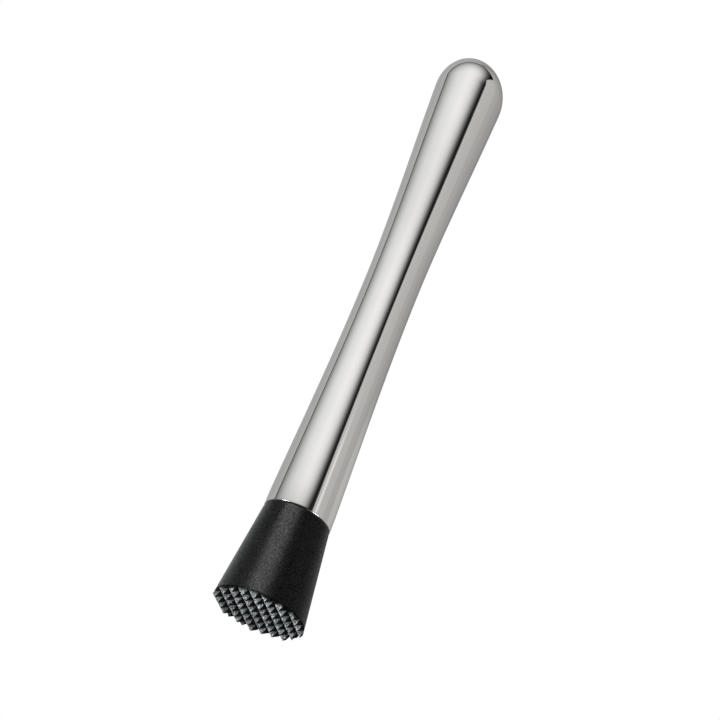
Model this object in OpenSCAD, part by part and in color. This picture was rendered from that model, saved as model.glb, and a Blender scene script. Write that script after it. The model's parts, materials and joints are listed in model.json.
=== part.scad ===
// Bar muddler: a waisted hollow steel handle with a toothed nylon head screwed to its foot.
// Millimetres. Z is the axis of the tool; the tooth tips stand on z = 0 and the dome is on top.

/* [Handle] */
// Height of the whole tool, from the tooth tips to the top of the dome
total_len = 203.7; // [180:0.1:230]
// Diameter at the foot of the handle, where it meets the head
joint_d = 23.2; // [22:0.1:26]
// Smallest diameter of the handle
waist_d = 18.2; // [17:0.1:20]
// Height of the waist above the tooth tips
waist_z = 121.7; // [105:0.1:135]
// Diameter of the dome, the widest point near the top
dome_d = 23.3; // [22:0.1:26]
// Wall thickness of the drawn steel
wall = 1; // [0.8:0.1:1.2]
// Length of the nearly straight stretch at the foot
foot_len = 8; // [4:0.5:12]
// Angle at which the handle narrows above that stretch, in degrees
foot_taper = 2.3; // [1:0.1:3]
// How far below the dome's equator the weld seam lies, in degrees of arc
dome_dip = 2; // [1:0.1:4]

/* [Head] */
// Height of the nylon head, from the tooth tips to its shoulder
head_len = 34.9; // [30:0.1:40]
// Diameter across the toothed face
face_d = 32; // [30:0.5:38]
// Distance from one tooth to the next
tooth_pitch = 3.95; // [3:0.01:5]
// Width of the small flat at each tooth's tip
tooth_land = 0.15; // [0.1:0.05:0.5]
// Angle of the tooth grid about the axis, in degrees
tooth_turn = -21.8; // [-45:0.1:45]

/* [Screw joint] */
// Diameter of the stud, over its thread crests
stud_d = 8; // [6:0.5:8]
// Length of thread held by the handle when the head is home
thread_grip = 10; // [8:0.5:12]
// Height of the spigot that centres the head in the foot of the handle
spigot_len = 3.5; // [2:0.5:4]
// Thickness of the silicone ring between head and handle
ring_t = 0.3; // [0.2:0.1:0.8]

/* [Hidden] */
$fn = 96;

// Gaps between pieces: sliding ones have air, pressed and moulded ones almost none
running_gap = 0.05;
pressed_gap = 0.02;
edge_round = 0.3;      // softened edge at the head's shoulder
lip_round = 0.3;       // softened edge at the foot of the tube
edge_bevel = 0.6;      // bevels on turned parts and at the rim of the face
outline_steps = 32;    // points along each long stretch of the handle's outline
foot_steps = 8;        // points along its foot

joint_r = joint_d / 2;
waist_r = waist_d / 2;
dome_r = dome_d / 2;
face_r = face_d / 2;
stud_r = stud_d / 2;

// The handle's foot rests on the ring, which rests on the head's shoulder
foot_z = head_len + ring_t;

// Above its foot the handle starts to narrow at the full taper
knee_z = foot_z + foot_len;
knee_r = joint_r - foot_len * tan(foot_taper) / 2;

// The dome is a hemisphere that runs a little past its equator, down to the weld seam
dome_z = total_len - dome_r;
seam_z = dome_z - dome_r * sin(dome_dip);
seam_r = dome_r * cos(dome_dip);

// Cap skirt that drops inside the top of the tube
skirt_len = 4;
skirt_r = handle_r(seam_z - skirt_len) - wall - pressed_gap;
skirt_bore_r = skirt_r - wall;

// Threaded plug inside the foot, just above the head's spigot and a little longer than the thread
plug_gap = 0.6;
plug_spare = 2;
plug_foot_z = foot_z + spigot_len + plug_gap;
plug_top_z = plug_foot_z + thread_grip + plug_spare;

// Head spigot, a little smaller than the bore it slides into
spigot_top_z = foot_z + spigot_len;
spigot_r = handle_r(spigot_top_z) - wall - running_gap;

// Stud: a bolt moulded into the nylon; its hexagon is 1.625 diameters across flats, 0.66 high
stud_top_z = plug_foot_z + thread_grip;
stud_foot_z = head_len * 0.3;
bolt_head_len = stud_d * 0.66;
bolt_head_r = stud_d * 1.625 / sqrt(3);

// Teeth: two rows of grooves cross at right angles, two of them on the axis, with 90 degree flanks
groove_w = tooth_pitch - tooth_land;
tooth_depth = groove_w / 2;
groove_reach = ceil(face_r / tooth_pitch);

// Radius at height z of a smooth curve through two ends with given radii and slopes
function smooth_r(z, z0, r0, slope0, z1, r1, slope1) =
    let (h = z1 - z0, t = (z - z0) / h)
    r0 * (1 + 2 * t) * pow(1 - t, 2) + r1 * t * t * (3 - 2 * t)
    + h * slope0 * t * pow(1 - t, 2) + h * slope1 * t * t * (t - 1);

// Outer radius of the handle at height z, between its foot and the weld seam
function handle_r(z) =
    z < knee_z ? smooth_r(z, foot_z, joint_r, 0, knee_z, knee_r, -tan(foot_taper)) :
    z < waist_z ? smooth_r(z, knee_z, knee_r, -tan(foot_taper), waist_z, waist_r, 0) :
    smooth_r(z, waist_z, waist_r, 0, seam_z, seam_r, tan(dome_dip));

// Outline of the handle moved inwards by a distance, from height z0 up to height z1
function handle_outline(inwards, z0, z1, steps) =
    [for (i = [0 : steps]) let (z = z0 + (z1 - z0) * i / steps) [handle_r(z) - inwards, z]];

// One wall of the tube from just above its lip to the weld seam
function tube_side(inwards) = concat(
    handle_outline(inwards, foot_z + 2 * lip_round, knee_z, foot_steps),
    handle_outline(inwards, knee_z + 1, waist_z, outline_steps),
    handle_outline(inwards, waist_z + 1, seam_z, outline_steps)
);

// Points of an arc about [r, z], from one angle to another
function arc(r, z, radius, from, to, steps) =
    [for (i = [0 : steps]) let (a = from + (to - from) * i / steps)
        [r + radius * cos(a), z + radius * sin(a)]];

// The same outline walked the other way
function reversed(points) = [for (i = [len(points) - 1 : -1 : 0]) points[i]];

// Drawn tube with a softened edge at its foot
module handle_tube() {
    color("silver") rotate_extrude() polygon(concat(
        [[joint_r - wall, foot_z]],
        arc(joint_r - lip_round, foot_z + lip_round, lip_round, 270, 360, 8),
        tube_side(0),
        reversed(tube_side(wall))
    ));
}

// Pressed cap: a hemispherical shell on a skirt that sits inside the tube, welded and polished flush
module handle_dome() {
    shell_r = dome_r - wall;
    shell_foot = acos(skirt_bore_r / shell_r);
    color("silver") rotate_extrude() polygon(concat(
        [[skirt_bore_r, seam_z - skirt_len], [skirt_r, seam_z - skirt_len], [skirt_r, seam_z]],
        arc(0, dome_z, dome_r, -dome_dip, 90, 48),
        reversed(arc(0, dome_z, shell_r, shell_foot, 90, 32))
    ));
}

// Steel plug pressed into the foot of the tube, threaded for the stud
module thread_plug() {
    color("gray") difference() {
        rotate_extrude() polygon(concat(
            [[0, plug_foot_z]],
            handle_outline(wall + pressed_gap, plug_foot_z, plug_top_z, 6),
            [[0, plug_top_z]]
        ));
        translate([0, 0, plug_foot_z - 1])
            cylinder(r = stud_r, h = plug_top_z - plug_foot_z + 2);
        // Lead-in at the mouth of the thread
        translate([0, 0, plug_foot_z - 0.01])
            cylinder(r1 = stud_r + edge_bevel, r2 = stud_r, h = edge_bevel);
    }
}

// Flat silicone ring that seals the joint; its edge stands back from the outline
module seal_ring() {
    color("black") translate([0, 0, head_len]) difference() {
        cylinder(r = joint_r - edge_round, h = ring_t);
        translate([0, 0, -1]) cylinder(r = spigot_r + pressed_gap, h = ring_t + 2);
    }
}

// Steel stud, grown by a gap when it is used to hollow out the nylon around it
module stud_shape(gap) {
    translate([0, 0, stud_foot_z - gap])
        cylinder(r = bolt_head_r + gap, h = bolt_head_len + 2 * gap, $fn = 6);
    translate([0, 0, stud_foot_z])
        cylinder(r = stud_r - running_gap + gap, h = stud_top_z - edge_bevel - stud_foot_z);
    translate([0, 0, stud_top_z - edge_bevel])
        cylinder(r1 = stud_r - running_gap + gap, r2 = stud_r - edge_bevel + gap, h = edge_bevel);
}

module stud() {
    color("gray") stud_shape(0);
}

// One straight V groove along Y, cut upwards from the face at x = 0
module groove() {
    below = 1;
    overrun = 3;
    half_w = groove_w / 2 * (1 + below / tooth_depth);
    rotate([90, 0, 0]) linear_extrude(face_d + 2 * overrun, center = true)
        polygon([[-half_w, -below], [half_w, -below], [0, tooth_depth]]);
}

// All grooves of one direction, side by side
module groove_row() {
    for (i = [-groove_reach : groove_reach])
        translate([i * tooth_pitch, 0, 0]) groove();
}

// Nylon head: a cone with a spigot on top and square pyramid teeth cut into the face
module head() {
    color([0.08, 0.08, 0.08]) difference() {
        rotate_extrude() polygon(concat(
            [[0, 0], [face_r - edge_bevel, 0], [face_r, edge_bevel]],
            arc(joint_r - edge_round, head_len - edge_round, edge_round, 7, 90, 8),
            [[spigot_r, head_len], [spigot_r, spigot_top_z - edge_bevel],
             [spigot_r - edge_bevel, spigot_top_z], [0, spigot_top_z]]
        ));
        stud_shape(pressed_gap);
        for (turn = [0, 90]) rotate([0, 0, tooth_turn + turn]) groove_row();
    }
}

handle_tube();
handle_dome();
thread_plug();
seal_ring();
head();
stud();
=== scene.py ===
"""Looks of the bar muddler: polished steel handle, moulded nylon head, studio light and camera."""

import json
import math

import bpy
from mathutils import Matrix, Vector

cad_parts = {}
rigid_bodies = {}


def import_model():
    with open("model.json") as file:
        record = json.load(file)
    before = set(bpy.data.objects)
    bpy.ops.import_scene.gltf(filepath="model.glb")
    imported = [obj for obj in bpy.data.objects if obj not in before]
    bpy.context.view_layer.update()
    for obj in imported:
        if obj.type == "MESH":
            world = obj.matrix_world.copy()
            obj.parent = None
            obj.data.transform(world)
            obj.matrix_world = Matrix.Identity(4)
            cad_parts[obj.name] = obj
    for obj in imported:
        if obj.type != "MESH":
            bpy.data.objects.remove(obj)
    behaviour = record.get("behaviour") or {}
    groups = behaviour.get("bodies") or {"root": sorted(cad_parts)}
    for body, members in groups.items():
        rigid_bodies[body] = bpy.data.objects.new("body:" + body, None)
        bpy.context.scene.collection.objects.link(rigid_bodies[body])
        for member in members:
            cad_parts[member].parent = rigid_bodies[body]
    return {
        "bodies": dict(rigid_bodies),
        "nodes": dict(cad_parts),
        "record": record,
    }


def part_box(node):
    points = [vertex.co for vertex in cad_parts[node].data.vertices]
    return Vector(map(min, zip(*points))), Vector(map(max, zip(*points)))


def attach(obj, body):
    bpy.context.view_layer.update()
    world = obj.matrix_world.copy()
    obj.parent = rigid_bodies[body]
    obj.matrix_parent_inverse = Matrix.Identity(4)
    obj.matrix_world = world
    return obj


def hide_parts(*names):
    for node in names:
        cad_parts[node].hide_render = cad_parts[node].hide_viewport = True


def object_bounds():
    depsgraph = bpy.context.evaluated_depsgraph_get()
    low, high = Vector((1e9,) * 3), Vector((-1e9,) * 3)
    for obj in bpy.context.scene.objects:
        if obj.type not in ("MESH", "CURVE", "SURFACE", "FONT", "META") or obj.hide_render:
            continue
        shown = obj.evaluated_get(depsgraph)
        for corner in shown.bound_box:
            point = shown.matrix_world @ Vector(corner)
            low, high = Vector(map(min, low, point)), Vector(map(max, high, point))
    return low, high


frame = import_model()
cad_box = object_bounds()

MM = 0.001

# Looks of the head: the height above the tooth tips over which its masks run from 0 to 1, and the
# width of its softened edges, with the angle from which a fold counts as an edge
MASK_HEIGHT = 4 * MM
SOFT_EDGE = 0.07 * MM
EDGE_ANGLE = 35

# Pieces built here: angle from which a fold stays sharp, and how finely they are divided
SHARP_ANGLE = 30
ROUND_SEGMENTS = 256
THREAD_SEGMENTS = 72
RINGS_PER_PITCH = 12
THREAD_DEPTH = 0.6134  # depth of an ISO thread's profile, as a part of its pitch

# The floor: its radius as a multiple of the tool's length, its distance below the tips, its roundness
FLOOR_REACH = 2.2
FLOOR_GAP = 0.05 * MM
FLOOR_SEGMENTS = 96

# The camera, fitted to the tool's outline: angles in degrees, distance in metres, lens in millimetres
VIEW_ELEVATION = -27.916
VIEW_DISTANCE = 0.66086
CAMERA_HEADING = -9.807
CAMERA_PITCH = 4.495
CAMERA_ROLL = 21.383
SENSOR_WIDTH = 36
LENS_LENGTH = 90.24
LENS_SHIFT = 1.1509

tip_corner, top_corner = cad_box
total_len = top_corner.z - tip_corner.z
middle = Vector((0, 0, (top_corner.z + tip_corner.z) / 2))


# ---------------------------------------------------------------- node helpers

def new_tree(owner):
    """Empty node tree of a material or world."""
    owner.use_nodes = True
    owner.node_tree.nodes.clear()
    return owner.node_tree


def node(tree, kind, inputs=None, **settings):
    """Adds a node; inputs are plain values or other nodes' output sockets."""
    made = tree.nodes.new(kind)
    for key, value in settings.items():
        setattr(made, key, value)
    for key, value in (inputs or {}).items():
        if isinstance(value, bpy.types.NodeSocket):
            tree.links.new(value, made.inputs[key])
        else:
            made.inputs[key].default_value = value
    return made


def math_node(tree, operation, a, b=0.0):
    """Output socket of a calculation with one or two values."""
    return node(tree, "ShaderNodeMath", {0: a, 1: b}, operation=operation).outputs[0]


def ramp(tree, fac, stops, interpolation="LINEAR"):
    """Output socket of a colour ramp; each stop is a place and a grey or a colour."""
    made = node(tree, "ShaderNodeValToRGB", {"Fac": fac})
    made.color_ramp.interpolation = interpolation
    elements = made.color_ramp.elements
    while len(elements) < len(stops):
        elements.new(1.0)
    for element, (place, value) in zip(elements, stops):
        element.position = place
        element.color = (value, value, value, 1) if isinstance(value, (int, float)) else (*value, 1)
    return made.outputs["Color"]


def noise(tree, vector, scale, detail=2.0, roughness=0.5):
    """Output socket of a noise between 0 and 1."""
    made = node(tree, "ShaderNodeTexNoise", {
        "Vector": vector, "Scale": scale, "Detail": detail, "Roughness": roughness})
    return made.outputs["Fac"]


def stretched(tree, vector, factors):
    """The vector with each axis scaled, to draw a texture out into lines."""
    return node(tree, "ShaderNodeMapping", {"Vector": vector, "Scale": factors}).outputs["Vector"]


def object_place(tree):
    """Place on the piece, in metres, which does not move when the piece does."""
    return node(tree, "ShaderNodeTexCoord").outputs["Object"]


def mixed(tree, share, off, on):
    """Output socket that goes from one value to another as the share goes from 0 to 1."""
    return node(tree, "ShaderNodeMix", {"Factor": share, 2: off, 3: on}, data_type="FLOAT").outputs[0]


def finish_material(tree, shader):
    """Makes a shader the surface of its material."""
    node(tree, "ShaderNodeOutputMaterial", {"Surface": shader.outputs[0]})


# ---------------------------------------------------------------- materials

def steel_material():
    """Polished stainless steel with hair-fine polishing lines along the handle."""
    material = bpy.data.materials.new("polished_steel_look")
    tree = new_tree(material)
    place = object_place(tree)
    lines = noise(tree, stretched(tree, place, (1, 1, 0.02)), 9000, 2)
    cloud = noise(tree, place, 60, 3)
    shade = ramp(tree, cloud, [(0.3, (0.765, 0.758, 0.745)), (0.7, (0.80, 0.795, 0.785))])
    rough = ramp(tree, lines, [(0.3, 0.03), (0.7, 0.055)])
    bump = node(tree, "ShaderNodeBump", {"Height": lines, "Strength": 0.04, "Distance": 0.02 * MM})
    shader = node(tree, "ShaderNodeBsdfPrincipled", {
        "Base Color": shade, "Metallic": 1.0, "Roughness": rough, "Normal": bump.outputs[0]})
    finish_material(tree, shader)
    return material


def nylon_material():
    """Black moulded nylon with a fine grain that glints; the teeth are streaked and have no bloom."""
    material = bpy.data.materials.new("black_nylon_look")
    tree = new_tree(material)
    place = object_place(tree)
    grain = noise(tree, place, 3500, 1.5, 0.6)
    height = node(tree, "ShaderNodeSeparateXYZ", {0: place}).outputs["Z"]
    level = math_node(tree, "DIVIDE", height, MASK_HEIGHT)
    teeth = ramp(tree, level, [(0.50, 1.0), (0.56, 0.0)])
    # The groove bottoms are dimmed by height; this stands in for shade that the lamps don't give
    out_of_groove = ramp(tree, level, [(0.18, 1.0), (0.43, 0.08)])
    smooth_glint = ramp(tree, grain, [(0.36, 0.025), (0.50, 0.07), (0.66, 0.19)])
    streaks = noise(tree, stretched(tree, place, (1, 0.5, 1)), 2400, 2, 0.6)
    streak_glint = ramp(tree, streaks, [(0.36, 0.03), (0.50, 0.12), (0.62, 0.27), (0.70, 0.5)])
    streak_glint = math_node(tree, "MULTIPLY", streak_glint, out_of_groove)
    glint = mixed(tree, teeth, smooth_glint, streak_glint)
    shade = ramp(tree, grain, [(0.35, 0.0), (0.65, 0.005)])
    bloom = mixed(tree, teeth, ramp(tree, grain, [(0.38, 0.0), (0.64, 0.11)]), 0.0)
    rough = ramp(tree, noise(tree, place, 150, 3), [(0.3, 0.28), (0.7, 0.32)])
    bump = node(tree, "ShaderNodeBump", {
        "Height": grain, "Strength": mixed(tree, teeth, 0.5, 0.2), "Distance": 0.07 * MM})
    shader = node(tree, "ShaderNodeBsdfPrincipled", {
        "Base Color": shade, "Roughness": rough, "Specular IOR Level": glint,
        "Sheen Weight": bloom, "Sheen Roughness": 0.4, "Normal": bump.outputs[0]})
    finish_material(tree, shader)
    return material


def turned_material():
    """Machined steel of the stud and plug, with rings from turning."""
    material = bpy.data.materials.new("turned_steel_look")
    tree = new_tree(material)
    place = object_place(tree)
    rings = noise(tree, stretched(tree, place, (0.05, 0.05, 1)), 6000, 2)
    rough = ramp(tree, rings, [(0.3, 0.22), (0.7, 0.38)])
    bump = node(tree, "ShaderNodeBump", {"Height": rings, "Strength": 0.2, "Distance": 0.02 * MM})
    shader = node(tree, "ShaderNodeBsdfPrincipled", {
        "Base Color": (0.56, 0.55, 0.53, 1), "Metallic": 1.0, "Roughness": rough,
        "Normal": bump.outputs[0]})
    finish_material(tree, shader)
    return material


def silicone_material():
    """Dull black silicone."""
    material = bpy.data.materials.new("silicone_look")
    tree = new_tree(material)
    dust = noise(tree, object_place(tree), 1200, 3)
    shade = ramp(tree, dust, [(0.3, 0.010), (0.7, 0.022)])
    shader = node(tree, "ShaderNodeBsdfPrincipled", {"Base Color": shade, "Roughness": 0.6})
    finish_material(tree, shader)
    return material


# ---------------------------------------------------------------- turned pieces

def profile_of(cad_node):
    """The closed outline of a turned CAD node as (radius, height) points, read from its own mesh."""
    mesh = frame["nodes"][cad_node].data
    tiny = 1e-6
    key = {}
    for vertex in mesh.vertices:
        x, y, z = vertex.co
        if abs(y) < tiny and x > -tiny:
            key[vertex.index] = (round(x / tiny), round(z / tiny))
    neighbours = {}
    for edge in mesh.edges:
        a, b = (key.get(i) for i in edge.vertices)
        if a and b and a != b:
            neighbours.setdefault(a, set()).add(b)
            neighbours.setdefault(b, set()).add(a)
    # An outline that reaches the axis is open there; any other is a loop
    ends = [p for p, near in neighbours.items() if len(near) == 1]
    path = [max(ends or neighbours, key=lambda p: p[1])]
    while True:
        onward = [p for p in neighbours[path[-1]] if p not in path]
        if not onward:
            break
        path.append(onward[0])
    following = path[1:] + path[:1]
    area = sum(a[0] * b[1] - b[0] * a[1] for a, b in zip(path, following))
    if area < 0:
        path.reverse()
    return [(r * tiny, z * tiny) for r, z in path]


def new_piece(name, vertices, faces, body, material):
    """A smooth-shaded piece of the object, with its edges kept sharp where it folds."""
    mesh = bpy.data.meshes.new(name)
    mesh.from_pydata(vertices, [], faces)
    mesh.update()
    mesh.shade_smooth()
    mesh.set_sharp_from_angle(angle=math.radians(SHARP_ANGLE))
    mesh.materials.append(material)
    made = bpy.data.objects.new(name, mesh)
    bpy.context.scene.collection.objects.link(made)
    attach(made, body)
    return made


def lathe(name, outline, body, material):
    """A solid of revolution about Z through a closed outline; points on the axis become poles."""
    vertices, faces, rows = [], [], []
    on_axis = 1e-7
    for r, z in outline:
        count = 1 if r < on_axis else ROUND_SEGMENTS
        rows.append((len(vertices), count))
        for i in range(count):
            angle = math.tau * i / ROUND_SEGMENTS
            vertices.append((r * math.cos(angle), r * math.sin(angle), z))
    for k, (first, count) in enumerate(rows):
        second, next_count = rows[(k + 1) % len(rows)]
        if count == 1 and next_count == 1:
            continue
        for i in range(ROUND_SEGMENTS):
            j = (i + 1) % ROUND_SEGMENTS
            corners = [first + i % count, first + j % count,
                       second + j % next_count, second + i % next_count]
            faces.append(list(dict.fromkeys(corners)))
    return new_piece(name, vertices, faces, body, material)


def build_handle(steel):
    """The tube and its cap, re-turned with enough segments for clean reflections."""
    for cad_node in ("handle_tube", "handle_dome"):
        skin = lathe(cad_node + "_skin", profile_of(cad_node), "handle", steel)
        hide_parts(cad_node)


def thread_radius(angle, z, crest, pitch):
    """Radius of a right-hand 60 degree thread with flats of an eighth and a quarter of its pitch."""
    depth = THREAD_DEPTH * pitch
    from_crest = abs((z / pitch - angle / math.tau) % 1.0 - 0.5) * 2
    down_flank = (from_crest - 1 / 8) / (1 - 1 / 8 - 1 / 4)
    return crest - depth * min(1.0, max(0.0, down_flank))


def hexagon_radius(angle, corner):
    """Radius of a hexagon with a corner at angle 0."""
    side = math.tau / 6
    return corner * math.cos(side / 2) / math.cos(angle % side - side / 2)


def build_stud(material):
    """The stud as in the CAD, with a real helical thread on the length that unscrewing shows."""
    low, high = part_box("stud")
    spots = [v.co for v in frame["nodes"]["stud"].data.vertices]
    hexagon_top = min(c.z for c in spots if c.z > low.z + 1 * MM)
    thread_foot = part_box("head")[1].z
    crest = max(math.hypot(c.x, c.y) for c in spots if c.z > thread_foot)
    lead_in = crest - max(math.hypot(c.x, c.y) for c in spots if c.z > high.z - 0.01 * MM)
    pitch = frame["record"]["behaviour"]["couplings"][0]["ratio"] * math.tau
    segments = THREAD_SEGMENTS
    angles = [math.tau * i / segments for i in range(segments)]
    # Each ring is its radii and its height, from the foot of the hexagon to the end of the thread
    rings = [([hexagon_radius(a, high.x) for a in angles], low.z),
             ([hexagon_radius(a, high.x) for a in angles], hexagon_top),
             ([crest] * segments, hexagon_top),
             ([crest] * segments, thread_foot - pitch)]
    count = math.ceil((high.z - thread_foot) / pitch * RINGS_PER_PITCH)
    for k in range(count + 1):
        z = thread_foot + (high.z - thread_foot) * k / count
        limit = crest - lead_in + high.z - z
        rings.append(([min(limit, thread_radius(a, z, crest, pitch)) for a in angles], z))
    vertices = [(0, 0, low.z), (0, 0, high.z)]
    faces = []
    for k, (radii, z) in enumerate(rings):
        vertices += [(r * math.cos(a), r * math.sin(a), z) for r, a in zip(radii, angles)]
        for i in range(segments):
            j = (i + 1) % segments
            here = 2 + k * segments
            if k == 0:
                faces.append((0, here + j, here + i))
            if k == len(rings) - 1:
                faces.append((1, here + i, here + j))
            else:
                faces.append((here + i, here + j, here + segments + j, here + segments + i))
    made = new_piece("stud_threaded", vertices, faces, "head", material)
    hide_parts("stud")


def soften_edges(cad_node, width):
    """Rounds a moulded piece's sharp edges by a hair."""
    bevel = frame["nodes"][cad_node].modifiers.new("soft_edges", "BEVEL")
    bevel.width = width
    bevel.segments = 2
    bevel.limit_method = "ANGLE"
    bevel.angle_limit = math.radians(EDGE_ANGLE)


def dress(cad_node, material):
    """Gives a CAD node its finished material."""
    for slot in frame["nodes"][cad_node].material_slots:
        slot.material = material


# ---------------------------------------------------------------- studio

def direction(azimuth, elevation):
    """Unit vector seen from the tool; azimuth 0 is towards the camera side, positive to its right."""
    a, e = math.radians(azimuth), math.radians(elevation)
    return Vector((math.sin(a) * math.cos(e), -math.cos(a) * math.cos(e), math.sin(e)))


def studio_world():
    """A soft box, a reflector card and a pale backdrop around the tool, bounded by planes through it."""
    world = bpy.data.worlds.new("studio")
    bpy.context.scene.world = world
    tree = new_tree(world)
    ray = node(tree, "ShaderNodeTexCoord").outputs["Generated"]

    def beyond(edge_normal):
        """Sine of the angle by which the ray lies beyond a plane; below 0 it hasn't reached it."""
        return node(tree, "ShaderNodeVectorMath", {0: ray, 1: edge_normal},
                    operation="DOT_PRODUCT").outputs["Value"]

    # Azimuth of the ray as a part of the full turn, with 0.5 on the camera's side
    parts = node(tree, "ShaderNodeSeparateXYZ", {0: ray}).outputs
    turn = math_node(tree, "ARCTAN2", parts["X"], math_node(tree, "MULTIPLY", parts["Y"], -1.0))
    turn = math_node(tree, "ADD", math_node(tree, "DIVIDE", turn, math.tau), 0.5)

    def at(azimuth):
        """Place of an azimuth on the ramps that run around the tool."""
        return azimuth / 360 + 0.5

    def up(elevation):
        """Place of an elevation on the ramps that run upwards."""
        return math.sin(math.radians(elevation)) / 2 + 0.5

    # The box is brightest in its middle and fades to black towards its right edge
    from_right = beyond(direction(-71, 25))
    from_back = beyond(direction(-12.5, 3.6))
    across = ramp(tree, from_right, [
        (0.00, 0.03), (0.05, 0.01), (0.09, 0.015), (0.19, 0.14), (0.28, 0.36), (0.375, 0.58),
        (0.47, 0.73), (0.55, 0.82), (0.635, 0.87), (0.75, 0.91), (1.00, 0.80)])
    inwards = ramp(tree, from_back, [
        (0.00, 0.08), (0.06, 0.10), (0.09, 0.33), (0.16, 0.40), (0.30, 0.61), (0.43, 0.76),
        (0.54, 0.88), (0.65, 0.97), (0.80, 1.0)])
    height = math_node(tree, "ADD", math_node(tree, "DIVIDE", parts["Z"], 2.0), 0.5)
    low_edge = ramp(tree, height, [
        (up(-30), 0.62), (up(20), 0.60), (up(22.6), 0.70), (up(25), 0.84), (up(29), 1.0)])
    box = math_node(tree, "MULTIPLY", math_node(tree, "MULTIPLY", across, inwards), 1.17)
    box = math_node(tree, "MULTIPLY", box, low_edge)

    # The card stands on the right, with an upright edge and a sloping top
    card = ramp(tree, turn, [(at(35), 0.62), (at(50), 0.59), (at(77), 0.56)])
    card_side = ramp(tree, turn, [(at(36.2), 0.0), (at(36.8), 1.0)])
    card_top = ramp(tree, beyond(direction(89, -29)), [(0.0, 0.0), (0.03, 1.0)])
    front = mixed(tree, math_node(tree, "MULTIPLY", card_side, card_top), box, card)

    # The backdrop closes the room behind the tool and is dark below the horizon
    backdrop = ramp(tree, turn, [
        (at(-180), 0.37), (at(-150), 0.47), (at(-131), 0.46), (at(-115), 0.51), (at(-60), 0.50),
        (at(80), 0.49), (at(95), 0.48), (at(105), 0.43), (at(116), 0.41), (at(131), 0.38),
        (at(152), 0.28), (at(180), 0.37)])
    below = ramp(tree, height, [(up(-45), 0.60), (up(-22), 0.36), (up(-8), 0.22), (up(3), 1.0)])
    backdrop = math_node(tree, "MULTIPLY", backdrop, below)
    in_front = ramp(tree, from_back, [(0.0, 0.0), (0.012, 1.0)])
    light = mixed(tree, in_front, backdrop, front)

    tint = ramp(tree, turn, [(at(-110), (0.99, 1.0, 1.0)), (at(0), (1.0, 0.995, 0.985)),
                             (at(60), (1.0, 0.985, 0.955)), (at(150), (1.0, 0.99, 0.975))])
    seen = node(tree, "ShaderNodeBackground", {"Color": (1, 1, 1, 1), "Strength": 1.0})
    lit = node(tree, "ShaderNodeBackground", {"Color": tint, "Strength": light})
    camera_ray = node(tree, "ShaderNodeLightPath").outputs["Is Camera Ray"]
    both = node(tree, "ShaderNodeMixShader", {0: camera_ray, 1: lit.outputs[0], 2: seen.outputs[0]})
    node(tree, "ShaderNodeOutputWorld", {"Surface": both.outputs[0]})


def floor():
    """A pale round floor on which the head stands; it fades out at its rim and is clear from below."""
    radius = total_len * FLOOR_REACH
    bpy.ops.mesh.primitive_circle_add(vertices=FLOOR_SEGMENTS, radius=radius, fill_type="NGON",
                                      location=(0, 0, tip_corner.z - FLOOR_GAP))
    made = bpy.context.object
    made.name = "floor"
    # The head can unscrew downwards, and the floor goes down with it
    under_head = made.constraints.new("COPY_LOCATION")
    under_head.target = frame["bodies"]["head"]
    under_head.use_offset = True
    material = bpy.data.materials.new("pale_floor")
    tree = new_tree(material)
    place = object_place(tree)
    away = node(tree, "ShaderNodeVectorMath", {0: place}, operation="LENGTH").outputs["Value"]
    reach = math_node(tree, "DIVIDE", away, radius)
    light_path = node(tree, "ShaderNodeLightPath").outputs
    seen = ramp(tree, reach, [(0.2, 1.0), (0.98, 0.0)], "EASE")
    mirrored = ramp(tree, reach, [(0.08, 1.0), (0.4, 0.0)], "EASE")
    fade = mixed(tree, light_path["Is Glossy Ray"], seen, mirrored)
    back = node(tree, "ShaderNodeNewGeometry").outputs["Backfacing"]
    front = math_node(tree, "SUBTRACT", 1.0, back)
    # A ray that has come up through the floor and is mirrored down again doesn't see it either
    from_above = math_node(tree, "LESS_THAN", light_path["Transparent Depth"], 0.5)
    shown = math_node(tree, "MULTIPLY", math_node(tree, "MULTIPLY", fade, front), from_above)
    paper = ramp(tree, noise(tree, place, 90, 3), [(0.3, 0.90), (0.7, 0.93)])
    diffuse = node(tree, "ShaderNodeBsdfDiffuse", {"Color": paper})
    clear = node(tree, "ShaderNodeBsdfTransparent")
    both = node(tree, "ShaderNodeMixShader", {0: shown, 1: clear.outputs[0], 2: diffuse.outputs[0]})
    finish_material(tree, both)
    made.data.materials.append(material)


def soft_lamp(name, aim, azimuth, elevation, distance, size, power):
    """A square lamp aimed at a point of the tool; angles in degrees, metres, power in watts."""
    lamp = bpy.data.lights.new(name, "AREA")
    lamp.size = size
    lamp.energy = power
    made = bpy.data.objects.new(name, lamp)
    side = direction(azimuth, elevation)
    made.location = aim + side * distance
    made.rotation_euler = side.to_track_quat("Z", "Y").to_euler()
    made.visible_camera = False
    bpy.context.scene.collection.objects.link(made)
    return made


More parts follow.
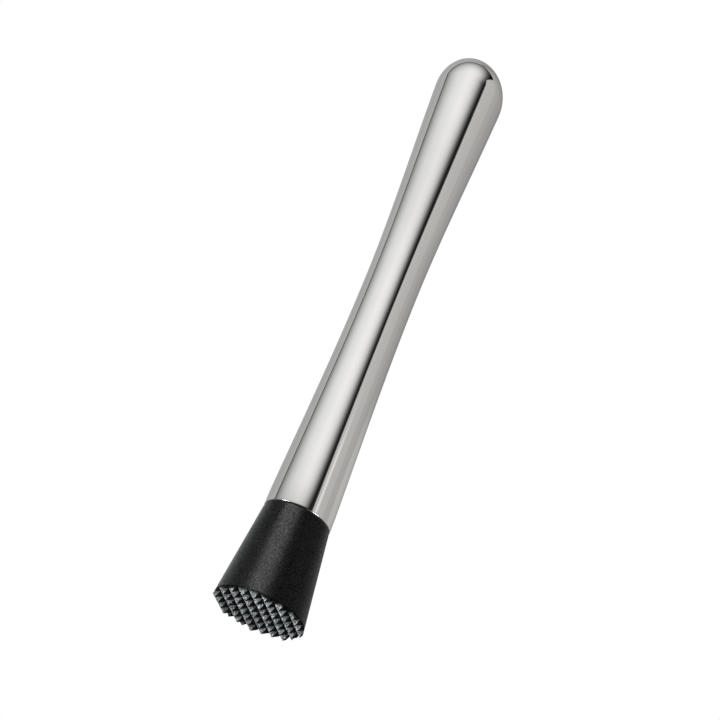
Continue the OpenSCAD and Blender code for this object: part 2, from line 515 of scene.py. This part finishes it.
def lamps():
    """Lamps for all pieces that the steel doesn't mirror, lamps for the head alone, two for the tube."""
    for name, azimuth, power in (("key", -40, 2.2), ("fill", 65, 1.2)):
        made = soft_lamp(name, middle, azimuth, 40, distance=1.0, size=0.5, power=power)
        made.visible_glossy = False
    dark = bpy.data.collections.new("dark_pieces")
    dark.objects.link(frame["nodes"]["head"])
    blockers = bpy.data.collections.new("blockers")
    blockers.objects.link(frame["nodes"]["head"])
    blockers.objects.link(bpy.data.objects["floor"])
    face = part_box("head")
    foot = Vector((0, 0, face[1].z / 2))
    to_the_right = Vector((face[1].x * 1.4, 0, 0))
    plain, cool = (1.0, 1.0, 1.0), (0.90, 0.98, 1.0)
    # Two of these stand below the floor, which blocks them for a view from above
    for name, aim, azimuth, elevation, distance, size, power, tint in (
            ("head_key", foot, -28, 42, 0.5, 0.35, 3.7, plain),
            ("tooth_key", to_the_right, -57, -55, 0.25, 0.09, 1.3, cool),
            ("edge_key", foot, -130, -26, 0.4, 0.2, 3.1, plain)):
        made = soft_lamp(name, aim, azimuth, elevation, distance, size, power)
        made.data.color = tint
        made.light_linking.receiver_collection = dark
        made.light_linking.blocker_collection = blockers
    # Small and bright, low on both sides and for the tube alone, to give the glints on its lip
    bright = bpy.data.collections.new("bright_pieces")
    bright.objects.link(bpy.data.objects["handle_tube_skin"])
    lip = Vector((0, 0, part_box("handle_tube")[0].z))
    for name, azimuth in (("lip_left", -74), ("lip_right", 64)):
        made = soft_lamp(name, lip, azimuth, -50, distance=0.3, size=0.08, power=0.2)
        made.light_linking.receiver_collection = bright


def side_glow(name, azimuth, width, strength):
    """A soft glow beside the tool, where the foot of the handle mirrors it in the photograph's view."""
    away, height, tall = 300 * MM, 190 * MM, 130 * MM
    bpy.ops.mesh.primitive_plane_add(size=1)
    made = bpy.context.object
    made.name = name
    side = direction(azimuth, 0)
    made.scale = (width, tall, 1)
    made.location = side * away + Vector((0, 0, height))
    made.rotation_euler = side.to_track_quat("Z", "Y").to_euler()
    made.visible_camera = False
    made.visible_shadow = False
    made.visible_diffuse = False
    material = bpy.data.materials.new(name)
    tree = new_tree(material)
    parts = node(tree, "ShaderNodeSeparateXYZ", {0: object_place(tree)}).outputs
    over = ramp(tree, math_node(tree, "ADD", parts["X"], 0.5),
                [(0.0, 0.0), (0.3, 1.0), (0.7, 1.0), (1.0, 0.0)], "EASE")
    along = ramp(tree, math_node(tree, "ADD", parts["Y"], 0.5),
                 [(0.0, 0.0), (0.35, 1.0), (0.65, 1.0), (1.0, 0.0)], "EASE")
    power = math_node(tree, "MULTIPLY", math_node(tree, "MULTIPLY", over, along), strength)
    glow = node(tree, "ShaderNodeEmission", {"Color": (1.0, 0.99, 0.97, 1), "Strength": power})
    clear = node(tree, "ShaderNodeBsdfTransparent")
    both = node(tree, "ShaderNodeAddShader", {0: glow.outputs[0], 1: clear.outputs[0]})
    finish_material(tree, both)
    made.data.materials.append(material)


# ---------------------------------------------------------------- camera

def photo_camera():
    """Camera below and in front of the tool, with a lens shift that only holds at this place."""
    data = bpy.data.cameras.new("camera")
    made = bpy.data.objects.new("camera", data)
    bpy.context.scene.collection.objects.link(made)
    bpy.context.scene.camera = made
    data.sensor_width = SENSOR_WIDTH
    data.lens = LENS_LENGTH
    data.clip_start = 0.01
    made.location = middle + direction(0, VIEW_ELEVATION) * VIEW_DISTANCE
    aim = (Matrix.Rotation(math.radians(CAMERA_HEADING), 4, "Z")
           @ Matrix.Rotation(math.radians(90 + CAMERA_PITCH), 4, "X")
           @ Matrix.Rotation(math.radians(CAMERA_ROLL), 4, "Z"))
    made.rotation_euler = aim.to_euler()
    shift_at_home(made, "shift_y", LENS_SHIFT)


def shift_at_home(camera, path, amount):
    """Drives a lens shift so that it is there only while the camera stands where it is now."""
    driver = camera.data.driver_add(path).driver
    driver.type = "SCRIPTED"
    home = camera.location.copy()
    terms = []
    for axis, value in zip("xyz", home):
        variable = driver.variables.new()
        variable.name = axis
        variable.type = "TRANSFORMS"
        target = variable.targets[0]
        target.id = camera
        target.transform_type = "LOC_" + axis.upper()
        target.transform_space = "WORLD_SPACE"
        terms.append(f"abs({axis} - ({value:.6f}))")
    driver.expression = f"{amount} if {' + '.join(terms)} < 0.001 else 0"


scene = bpy.context.scene
scene.view_settings.view_transform = "Standard"

steel = steel_material()
turned = turned_material()
build_handle(steel)
dress("head", nylon_material())
soften_edges("head", SOFT_EDGE)
build_stud(turned)
dress("thread_plug", turned)
dress("seal_ring", silicone_material())

studio_world()
floor()
lamps()
side_glow("card_glow", azimuth=48, width=60 * MM, strength=0.30)
side_glow("backdrop_glow", azimuth=130, width=400 * MM, strength=0.17)
photo_camera()
